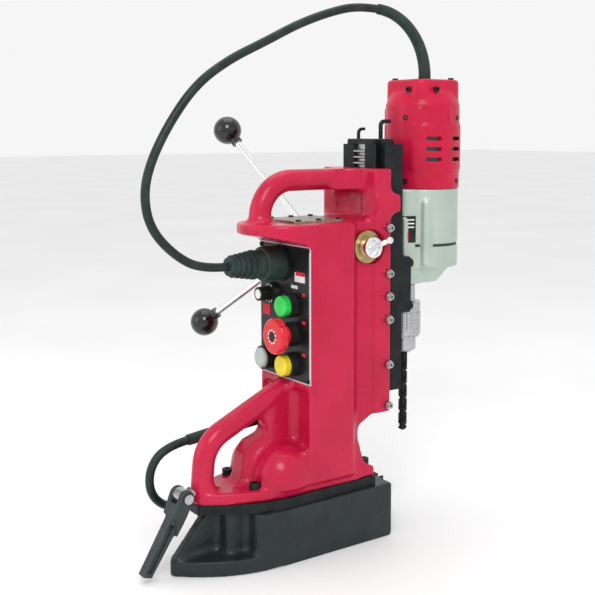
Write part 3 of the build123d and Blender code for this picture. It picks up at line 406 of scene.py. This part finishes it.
def black_casting():
    material, tree, shader, fine = surface(
        "black_casting", ((0.012, 0.018, 0.018), (0.018, 0.026, 0.026)), (0.28, 0.5),
        patch=40, grain=(900, 0.00025), coat=0.25)
    pits = ramp(tree, noise(tree, 260, 6), [(0.38, (0, 0, 0, 1)), (0.52, (1, 1, 1, 1))])
    rough = bump(tree, pits, 0.0006, 0.5, fine)
    tree.links.new(bump(tree, noise(tree, 45, 3), 0.0015, 0.4, rough), shader.inputs["Normal"])
    return keep("black_casting", material)


def black_steel():
    material = surface(
        "black_oxide", ((0.012, 0.014, 0.015), (0.020, 0.023, 0.024)), (0.32, 0.5),
        patch=60, grain=(1400, 0.00006), metallic=0.35)[0]
    return keep("black_steel", material)


def cast_lever():
    material = surface(
        "grey_casting", ((0.045, 0.055, 0.055), (0.062, 0.073, 0.071)), (0.38, 0.6),
        patch=70, grain=(700, 0.0004), metallic=0.5)[0]
    return keep("cast_lever", material)


for make in (red_enamel, red_plastic, black_casting, black_steel, cast_lever):
    make()

# %% [markdown]
# ### Metals
# Turned and ground metal keeps the tool's fine lines, so its noise is stretched hard along one
# axis.  Chrome has almost no texture of its own: faint smears in its roughness are enough.

# %% Metals
def bare_steel():
    material = surface(
        "turned_steel", ((0.42, 0.42, 0.43), (0.56, 0.56, 0.57)), (0.22, 0.38), patch=80,
        grain=(900, 0.00005), metallic=1.0, stretch=(1, 1, 14))[0]
    return keep("bare_steel", material)


def grey_alloy():
    material, tree, shader, fine = surface(
        "grey_alloy", ((0.44, 0.52, 0.46), (0.51, 0.60, 0.53)), (0.38, 0.55), patch=22,
        grain=(1100, 0.00018), metallic=0.55)
    tree.links.new(bump(tree, noise(tree, 70, 3), 0.0008, 0.3, fine), shader.inputs["Normal"])
    return keep("grey_alloy", material)


def chrome():
    material = surface(
        "chrome", ((0.78, 0.78, 0.80), (0.86, 0.86, 0.87)), (0.04, 0.14), patch=50,
        grain=(300, 0.00002), metallic=1.0)[0]
    return keep("chrome", material)


def bronze():
    material = surface(
        "bronze", ((0.36, 0.25, 0.10), (0.55, 0.42, 0.20)), (0.28, 0.45), patch=90,
        grain=(900, 0.00006), metallic=1.0, stretch=(10, 1, 1))[0]
    return keep("bronze", material)


def copper():
    """Windings: fine even ridges under varnish."""
    material, tree, shader, fine = surface(
        "windings", ((0.30, 0.10, 0.03), (0.50, 0.20, 0.07)), (0.25, 0.4), patch=60,
        grain=(800, 0.0001), metallic=0.8)
    turns = bump(tree, noise(tree, 90, 0, stretch=(1, 1, 12)), 0.0006, 0.6, fine)
    tree.links.new(turns, shader.inputs["Normal"])
    return keep("copper", material)


def laminate():
    material = surface(
        "laminations", ((0.05, 0.05, 0.055), (0.10, 0.10, 0.105)), (0.35, 0.5), patch=70,
        grain=(700, 0.0001), metallic=0.9, stretch=(1, 1, 18))[0]
    return keep("laminate", material)


def cover_plate():
    material = surface(
        "plated_cover", ((0.24, 0.21, 0.17), (0.40, 0.36, 0.30)), (0.28, 0.5), patch=45,
        grain=(1000, 0.00006), metallic=0.85, stretch=(1, 5, 1))[0]
    return keep("cover_plate", material)


for make in (bare_steel, grey_alloy, chrome, bronze, copper, laminate, cover_plate):
    make()

# %% [markdown]
# ### Plastics, rubber and glass
# Moulded plastic is even in colour with a fine spark-eroded grain.  Rubber is duller and picks up
# dust.  The cord jacket has long extrusion lines, and its pattern follows the "along" value that
# the tube stored at every point, so the lines run with the cord.

# %% Plastics and rubber
def plastic(key, tones, rough=(0.35, 0.5), coat=0.0, grain=(1800, 0.00006)):
    return keep(key, surface(key, tones, rough, patch=60, grain=grain, coat=coat)[0])


def lit_button(key, tones):
    """A push button is a clear-looking cap with a little glow of its own colour."""
    material, tree, shader, fine = surface(
        key, tones, (0.16, 0.28), patch=90, grain=(1500, 0.00003), coat=0.4)
    shader.inputs["Subsurface Weight"].default_value = 0.15
    shader.inputs["Subsurface Scale"].default_value = 0.004
    return keep(key, material)


RIDGE_RATE = 900.0    # radians of the sine wave for each metre of cord


def cord_jacket():
    material, tree, shader, fine = surface(
        "cord_jacket", ((0.010, 0.020, 0.018), (0.022, 0.036, 0.032)), (0.34, 0.5),
        patch=50, grain=(1600, 0.00008), coat=0.1)
    stored = tree.nodes.new("ShaderNodeAttribute")
    stored.attribute_name = "along"
    wave = math_node(tree, "SINE", math_node(tree, "MULTIPLY", stored.outputs["Fac"], RIDGE_RATE))
    ridges = bump(tree, wave, 0.00006, 0.25, fine)
    tree.links.new(ridges, shader.inputs["Normal"])
    return keep("cord_jacket", material)


def clear_lens():
    material, tree, shader, fine = surface(
        "clear_lens", ((0.74, 0.82, 0.80), (0.88, 0.93, 0.92)), (0.06, 0.14), patch=60,
        grain=(260, 0.0003), coat=0.5)
    shader.inputs["Transmission Weight"].default_value = 0.55
    shader.inputs["IOR"].default_value = 1.49
    return keep("lens", material)


plastic("black_plastic", ((0.010, 0.011, 0.011), (0.022, 0.024, 0.024)))
plastic("knob_plastic", ((0.004, 0.004, 0.004), (0.008, 0.008, 0.009)), (0.05, 0.12), 0.8,
        (400, 0.00002))
plastic("rubber", ((0.018, 0.034, 0.031), (0.036, 0.056, 0.050)), (0.42, 0.6), 0.0, (1200, 0.0001))
plastic("resin", ((0.045, 0.032, 0.02), (0.08, 0.06, 0.04)), (0.25, 0.4))
plastic("board", ((0.01, 0.09, 0.03), (0.02, 0.15, 0.06)), (0.3, 0.5))
plastic("label", ((0.62, 0.62, 0.60), (0.74, 0.74, 0.72)), (0.3, 0.45))
plastic("white_mark", ((0.72, 0.73, 0.72), (0.85, 0.85, 0.84)), (0.35, 0.5))
plastic("red_mark", ((0.50, 0.01, 0.03), (0.62, 0.02, 0.05)), (0.35, 0.5))
lit_button("green_button", ((0.012, 0.50, 0.05), (0.03, 0.66, 0.09)))
lit_button("yellow_button", ((0.66, 0.50, 0.01), (0.80, 0.64, 0.02)))
lit_button("red_button", ((0.58, 0.008, 0.02), (0.70, 0.014, 0.03)))
cord_jacket()
clear_lens()


# %% [markdown]
# The control panel is a black plate with a thin pale line printed round its edge.  The line is
# drawn by the material itself: it is white where a point lies in a narrow band inside the edge.

# %% Panel finish
LINE_WIDTH = 0.0016
LINE_COLOUR = (0.55, 0.5, 0.52, 1)


def panel_face():
    material, tree, shader, fine = surface(
        "panel_face", ((0.006, 0.006, 0.007), (0.014, 0.014, 0.015)), (0.3, 0.45), patch=50,
        grain=(1500, 0.00006), coat=0.2)
    low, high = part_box("control_panel")
    place = tree.nodes.new("ShaderNodeTexCoord")
    split = tree.nodes.new("ShaderNodeSeparateXYZ")
    tree.links.new(place.outputs["Object"], split.inputs["Vector"])
    distance = None
    for axis in (0, 2):
        middle, half = (low[axis] + high[axis]) / 2, (high[axis] - low[axis]) / 2
        off = math_node(tree, "ABSOLUTE", math_node(tree, "SUBTRACT", split.outputs[axis], middle))
        inside = math_node(tree, "SUBTRACT", half, off)
        distance = inside if distance is None else math_node(tree, "MINIMUM", distance, inside)
    line = math_node(tree, "LESS_THAN", distance, LINE_WIDTH)
    base = shader.inputs["Base Color"].links[0].from_socket
    tree.links.new(mix(tree, line, base, LINE_COLOUR), shader.inputs["Base Color"])
    return keep("panel_face", material)


panel_face()
SLOT_OF = {s["node"]: s["material_slot"] for s in frame["record"]["subparts"]}
for node, obj in frame["nodes"].items():
    finish = FINISH[SLOT_OF[node]]
    obj.data.materials.clear()
    obj.data.materials.append(finish)
print("finishes on", len(frame["nodes"]), "frame parts")

# %% [markdown]
# ## The two leads
# The motor lead is held by the plug on the panel at one end and by the strain relief on the motor
# at the other.  The supply lead leaves the swivelling housing through its boot and lies on the
# bench beside the magnet, with its coil and its plug.

def dress_cord(obj, finish):
    obj.data.materials.clear()
    obj.data.materials.append(FINISH[finish])
    smooth(obj, 60)


dress_cord(motor_lead, "cord_jacket")
tuple(motor_line[-1])
tuple(motor_line[0])
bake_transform(motor_lead)
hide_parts("motor_cord")
tuple(motor_line[0])
length_of(motor_line)
[tuple(p) for p in motor_line]

dress_cord(power_lead, "cord_jacket")
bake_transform(power_lead)
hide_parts("power_cord", "cord_coil")
tuple(power_line[0])
length_of(power_line)
[tuple(p) for p in power_line]
print("motor lead %.0f mm, supply lead %.0f mm"
      % (length_of(motor_line) * 1000, length_of(power_line) * 1000))

# %% [markdown]
# ## Castings
# A sand casting has no sharp inside corner: metal wouldn't flow into one, and the pattern needs
# draft and radii.  The designed part gives exact walls, so we take its mesh, rebuild it as an
# even skin, push the skin out and draw it back in.  Outside corners come back where they were,
# and inside corners keep a round fillet as wide as the push.  Then the machined places, which are
# sharp on the real casting too, are cut again.

# %% Skin of a casting
MERGE = 0.00002


def casting(node, cell, fillet, name, rounds=4):
    """A copy of a part with inside corners filled to a radius; sizes in millimetres."""
    obj = frame["nodes"][node].copy()
    obj.data = obj.data.copy()
    obj.parent = None
    bpy.context.collection.objects.link(obj)
    obj.hide_render = obj.hide_viewport = False
    for key in [k for k in obj.keys() if k.startswith("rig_")]:
        del obj[key]
    settle(obj, name)
    bpy.ops.object.mode_set(mode="EDIT")
    bpy.ops.mesh.select_all(action="SELECT")
    bpy.ops.mesh.remove_doubles(threshold=MERGE)
    bpy.ops.mesh.normals_make_consistent(inside=False)
    bpy.ops.object.mode_set(mode="OBJECT")
    for push in (fillet, -fillet):
        even = obj.modifiers.new("even", "REMESH")
        even.mode = "VOXEL"
        even.voxel_size = cell * MM
        move = obj.modifiers.new("push", "DISPLACE")
        move.strength = push * MM
        move.mid_level = 0
        apply_modifiers(obj)
    soften = obj.modifiers.new("soften", "SMOOTH")
    soften.factor = 0.5
    soften.iterations = rounds
    apply_modifiers(obj)
    print(name, "faces", len(obj.data.polygons))
    return obj


def prism(points, low, high, name="prism"):
    """An upright closed prism in millimetres on an outline seen from above."""
    count = len(points)
    verts = [(x * MM, y * MM, z * MM) for z in (low, high) for x, y in points]
    faces = [tuple(range(count)), tuple(reversed(range(count, 2 * count)))]
    faces += [(k, k + count, (k + 1) % count + count, (k + 1) % count) for k in range(count)]
    mesh = bpy.data.meshes.new(name)
    mesh.from_pydata(verts, [], faces)
    obj = bpy.data.objects.new(name, mesh)
    bpy.context.collection.objects.link(obj)
    pick(obj)
    bpy.ops.object.mode_set(mode="EDIT")
    bpy.ops.mesh.select_all(action="SELECT")
    bpy.ops.mesh.normals_make_consistent(inside=False)
    bpy.ops.object.mode_set(mode="OBJECT")
    return obj


def finish_piece(obj, body, node=None, finish=None, angle=35):
    """Smooth the piece, give it its finish and let it ride on its body."""
    smooth(obj, angle)
    if finish:
        obj.data.materials.clear()
        obj.data.materials.append(FINISH[finish])
    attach(obj, body)
    if node:
        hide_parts(node)


# %% [markdown]
# ### The housing
# Machined afterwards on the real one: the slide way, the bore and faces of the feed shaft, the
# seat of the panel, the bolt spot faces and the boot's hole.  The chamber behind the panel stays
# open so that the switches and the board have their room.

# %% Housing
FEED = (111.5, 390)    # Y and Z of the feed shaft
housing = casting("main_housing", 2.4, 6.0, "housing_casting")
way = prism([(-35.7, 136.6), (-27.4, 150.4), (33.4, 150.4), (41.7, 136.6)], 169, 491, "slide_way")
carve(housing, way)
for low, high in [((-13.5, 135.5, 169), (13.5, 137.6, 491)), ((-50, 24.5, 215), (50, 76, 408)),
                  ((-46, 36.5, 80), (46, 76, 216)), ((-50.6, 10, 229), (50.6, 25.5, 391)),
                  ((-56.6, -30, 221.9), (56.6, 18.5, 396.1)), ((-26, 24, 407), (26, 72, 430))]:
    carve(housing, cube(low, high, "pocket"))
carve(housing, round_bar((0, *FEED), 31, 26, "X"))
carve(housing, round_bar((0, *FEED), 16, 140, "X"))
for side in (1, -1):
    carve(housing, round_bar((side * 59, *FEED), 23, 22, "X"))
for x, y in ((36, 118), (-36, 118), (33, -51), (-33, -51)):
    carve(housing, round_bar((x, y, 105), 8, 14, "Z", sides=32))
carve(housing, round_bar((-40, 30, 164.3), 9.8, 60, "Y", sides=32))
finish_piece(housing, "press_frame", "main_housing", "red_casting", 40)

# %% [markdown]
# ### The magnet and the gear case
# The magnet body is a heavy rough casting; the gear case is a pressure casting, so its corners
# are tighter and its faces are cleaner.

# %% Magnet body
magnet = casting("magnet_base", 2.0, 3.6, "magnet_casting", 3)
finish_piece(magnet, "magnet", "magnet_base", "black_casting", 40)

# %% [markdown]
# The gear case is parted from its cover by a thin dark gasket, so a ring is cut round the case at
# the joint and a rubber ring is laid in it.  The tie rod passes through the same ring.

# %% Gear case and its gasket
MOTOR = (0, 248)    # X and Y of the motor's axis
ROD = (36, 224)
SEAM_Z = 383.5
case = casting("gear_case", 1.6, 3.0, "gear_case_casting", 3)
seam = round_bar((*MOTOR, SEAM_Z), 53, 4, "Z", sides=96)
carve(seam, round_bar((*MOTOR, SEAM_Z), 48, 6, "Z", sides=96))
carve(seam, round_bar((*ROD, SEAM_Z), 10.6, 6, "Z", sides=48))
carve(case, seam)
gasket = round_bar((*MOTOR, SEAM_Z), 48.5, 4.4, "Z", "case_gasket", 96)
carve(gasket, round_bar((*MOTOR, SEAM_Z), 46.5, 6, "Z", sides=96))
finish_piece(gasket, "carriage", finish="rubber")
finish_piece(case, "carriage", "gear_case", "grey_alloy", 40)

# %% [markdown]
# The lock lever is a small casting with a groove milled down each cheek.  The motor shell is a
# moulding; its cooling slots are narrow, so the skin would fill them, and they are cut again.

# %% Lock lever and motor shell
lever = casting("lock_lever", 0.9, 2.2, "lever_casting", 4)
for side in (1, -1):
    groove = cube((side * 5.2, -3, -31), (side * 9, 3, 31), "groove")
    groove.rotation_euler = (radians(-31), 0, 0)
    groove.location = (0, -0.168, 0.040)
    settle(groove, "groove")
    carve(lever, groove)
finish_piece(lever, "lock_lever", "lock_lever", "cast_lever", 40)
shell = casting("motor_cover", 1.5, 1.6, "motor_shell", 3)
for side in (1, -1):
    for y in (-20, 18):
        for z in (500, 514, 528):
            carve(shell, cube((side * 30, 238 + y, z - 2.6), (side * 70, 258 + y, z + 2.6),
                              "vent"))
finish_piece(shell, "carriage", "motor_cover", "red_plastic", 40)

# %% [markdown]
# ## Small things that make it read
# Sunk screws hold the shell to the gear case.  The motor's data plate is a dark sheet with pale
# bars, left without any lettering.  On the panel there are three small red marks beside the
# buttons, a red patch by the dial, and pale marks on the dial itself.

# %% Screws of the motor shell and its plate
def on_motor(angle, radius, height):
    """A point round the motor's axis, in millimetres."""
    a = radians(angle)
    return (MOTOR[0] + radius * cos(a), MOTOR[1] + radius * sin(a), height)


def radial_screw(angle, radius, height, head):
    """A dark screw that looks outwards, with its socket."""
    screw = round_bar((0, 0, 0), head, 5, "X", "screw", 24)
    carve(screw, round_bar((2.5, 0, 0), head * 0.5, 3, "X", "socket", 6))
    screw.rotation_euler = (0, 0, radians(angle))
    screw.location = [v * MM for v in on_motor(angle, radius, height)]
    return settle(screw, "shell_screw")


screws = [radial_screw(a, 49.2, z, 3.6) for a in (-68, 26, 112, 206) for z in (556, 470)]
screws += [radial_screw(a, 46.0, 594, 3.4) for a in (-66, -18, 114, 162)]
shell_screws = join(screws, "shell_screws")
finish_piece(shell_screws, "carriage", finish="black_steel")


NOSE_Y = 216


def on_nose(inner, outer, first, last, low, high, name):
    """A curved sheet on the round nose of the gear case, between two angles and two heights."""
    arc = range(first, last + 1, 4)
    points = [(r * cos(radians(a)), NOSE_Y + r * sin(radians(a)))
              for r, turn in ((outer, arc), (inner, reversed(arc))) for a in turn]
    return prism(points, low, high, name)


plate = on_nose(34.2, 35.6, -46, -14, 388, 424, "motor_plate")
finish_piece(plate, "carriage", finish="black_plastic")
bars = [on_nose(35.4, 35.9, -42, -18, z, z + 1.8, "bar") for z in (418, 413, 408)]
plate_bars = join(bars, "plate_bars")
finish_piece(plate_bars, "carriage", finish="white_mark")
patch = on_nose(35.4, 35.9, -42, -30, 391, 402, "plate_patch")
finish_piece(patch, "carriage", finish="red_mark")
print("motor trim done")

# %% [markdown]
# The panel's face stands a known way in front of the column, and the marks sit a fraction of a
# millimetre proud of it, as print and enamel do.

# %% Panel marks
FACE = 16.5
DIAL = (-25, 330)    # X and Z
STOP = (18, 282)
marks = [cube((40, FACE - 0.35, z - 2), (47, FACE + 0.2, z + 2), "mark") for z in (335, 300, 259)]
marks.append(cube((-50, FACE - 0.6, 299), (-33, FACE + 0.2, 313), "mark"))
marks.append(cube((26, FACE - 0.6, 358), (46, FACE + 0.2, 363), "mark"))
red_marks = join(marks, "red_marks")
finish_piece(red_marks, "press_frame", finish="red_mark")

ticks = []
for k in range(9):
    a = radians(-30 + 30 * k)
    tick = cube((-0.7, -0.3, 10), (0.7, 0.3, 12.6), "tick")
    tick.rotation_euler = (0, -a, 0)
    tick.location = (DIAL[0] * MM, (FACE - 7.1) * MM, DIAL[1] * MM)
    ticks.append(settle(tick, "tick"))
ticks.append(round_bar((DIAL[0], FACE - 24.1, DIAL[1]), 6.2, 0.8, "Y", "disc", 32))
dial_marks = join(ticks, "dial_marks")
finish_piece(dial_marks, "speed_dial", finish="white_mark")

hole = round_bar((STOP[0], FACE - 30.9, STOP[1]), 6.4, 0.8, "Y", "stop_centre", 32)
finish_piece(hole, "red_button", finish="black_plastic")
DASHES = 10
ring = []
for k in range(DASHES):
    a = 2 * pi * k / DASHES
    dash = cube((-1.3, -0.35, 7.4), (1.3, 0.35, 9.2), "dash")
    dash.rotation_euler = (0, a, 0)
    dash.location = (STOP[0] * MM, (FACE - 31.0) * MM, STOP[1] * MM)
    ring.append(settle(dash, "dash"))
stop_ring = join(ring, "stop_ring")
finish_piece(stop_ring, "red_button", finish="white_mark")
print("panel marks done")

# %% [markdown]
# The wing nut at the end of the feed shaft is chromed, with recesses that give the fingers a grip.

# %% Wing nut
nut = frame["nodes"]["feed_wing"].copy()
nut.data = nut.data.copy()
nut.parent = None
bpy.context.collection.objects.link(nut)
for key in [k for k in nut.keys() if k.startswith("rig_")]:
    del nut[key]
settle(nut, "wing_nut")
for k in range(5):
    a = radians(90 + 72 * k)
    carve(nut, round_bar((66, FEED[0] + 9.5 * cos(a), FEED[1] + 9.5 * sin(a)), 2.3, 5, "X",
                         sides=24))
carve(nut, round_bar((66, *FEED), 4.2, 4, "X", sides=32))
finish_piece(nut, "feed_wing", "feed_wing", "chrome", 35)

# %% [markdown]
# ## Light and floor
# A large soft key stands to the right and above, a fill at the left, and a strip behind so that
# chrome has something bright to show.  The floor is plain and pale, and isn't part of the object.

# %% Studio
def area_light(name, place, aim, size, power):
    bpy.ops.object.light_add(type="AREA", location=place)
    lamp = bpy.context.object
    lamp.name = name
    lamp.data.shape = "RECTANGLE"
    lamp.data.size, lamp.data.size_y = size
    lamp.data.energy = power
    lamp.rotation_euler = (Vector(aim) - Vector(place)).to_track_quat("-Z", "Y").to_euler()


area_light("key", (1.3, -0.9, 1.6), (0, 0.0, 0.3), (0.8, 0.8), 16)
area_light("fill", (-0.6, -1.9, 0.9), (0, 0, 0.25), (1.2, 1.2), 5)
area_light("top", (-0.3, 0.2, 2.2), (0, 0, 0.2), (1.4, 1.4), 8)

bpy.ops.mesh.primitive_plane_add(size=40, location=(0, 0, -0.0004))
floor = bpy.context.object
floor.name = "studio_floor"
floor_finish = surface(
    "floor", ((0.86, 0.86, 0.86), (0.90, 0.90, 0.90)), (0.55, 0.7), patch=2,
    grain=(60, 0.0001))[0]
floor.data.materials.append(floor_finish)

world = bpy.data.worlds.new("studio")
bpy.context.scene.world = world
world.use_nodes = True
sky = world.node_tree.nodes["Background"]
sky.inputs["Color"].default_value = (1.0, 1.0, 1.0, 1)
sky.inputs["Strength"].default_value = 0.92
bpy.context.scene.view_settings.view_transform = "Standard"
print("studio ready")
